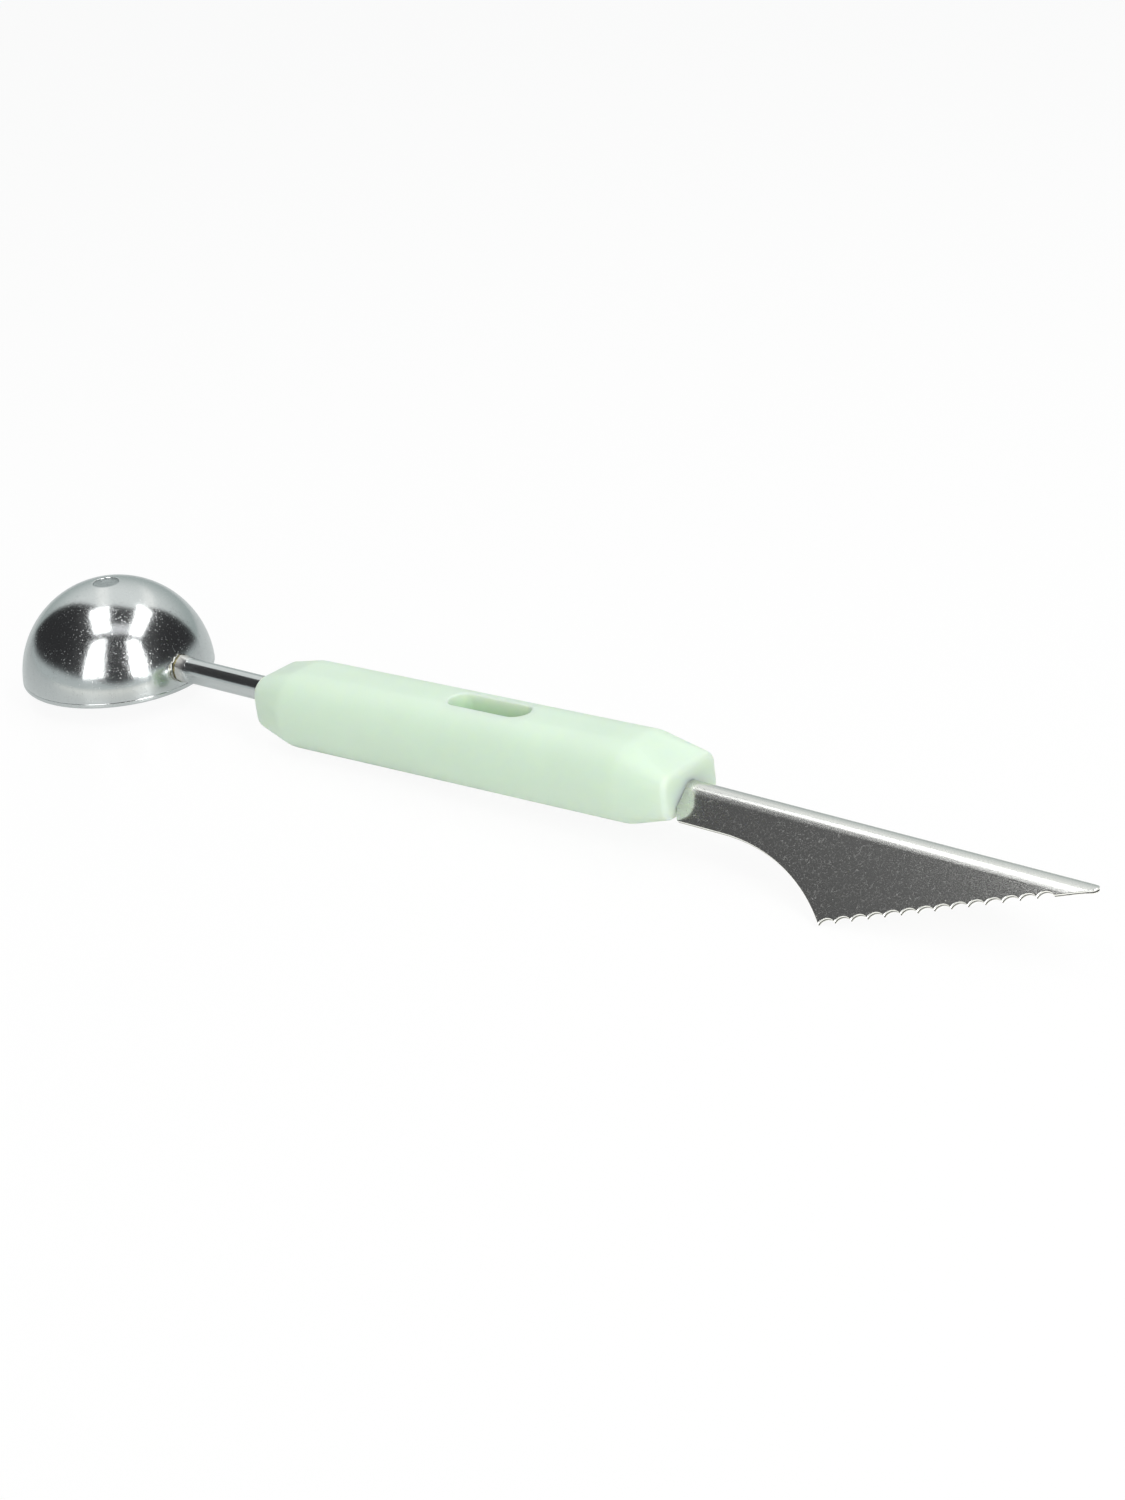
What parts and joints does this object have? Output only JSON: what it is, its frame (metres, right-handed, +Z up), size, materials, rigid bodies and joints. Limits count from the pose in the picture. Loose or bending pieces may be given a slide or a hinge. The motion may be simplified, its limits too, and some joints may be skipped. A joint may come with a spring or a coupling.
{
  "type": "melon baller",
  "caption": "Hand tool with a half-ball scoop on a rod, a rounded grip with a hang slot, and a V-folded serrated garnish blade.",
  "frame": {"origin": "on the surface that the tool lies on, under the middle of its length and width", "axes": "+Z up from that surface with the scoop's dome on top, +X along the tool from the scoop to the blade's point, Y across the tool"},
  "size_m": [0.1902, 0.03, 0.0177],
  "materials": {
    "polished_steel": "stainless steel polished to a mirror, with fine scratches",
    "weld_steel": "stainless steel tinted straw and brown by welding",
    "rod_steel": "drawn stainless steel rod, polished",
    "handle_plastic": "satin moulded plastic, pale mint green",
    "blade_steel": "polished stainless steel sheet with fine scratches and a bright ground edge"
  },
  "bodies": {
    "root": {"scoop_bowl": "polished_steel", "scoop_weld": "weld_steel", "scoop_shank": "rod_steel", "handle": "handle_plastic", "blade": "blade_steel"}
  },
  "joints": []
}
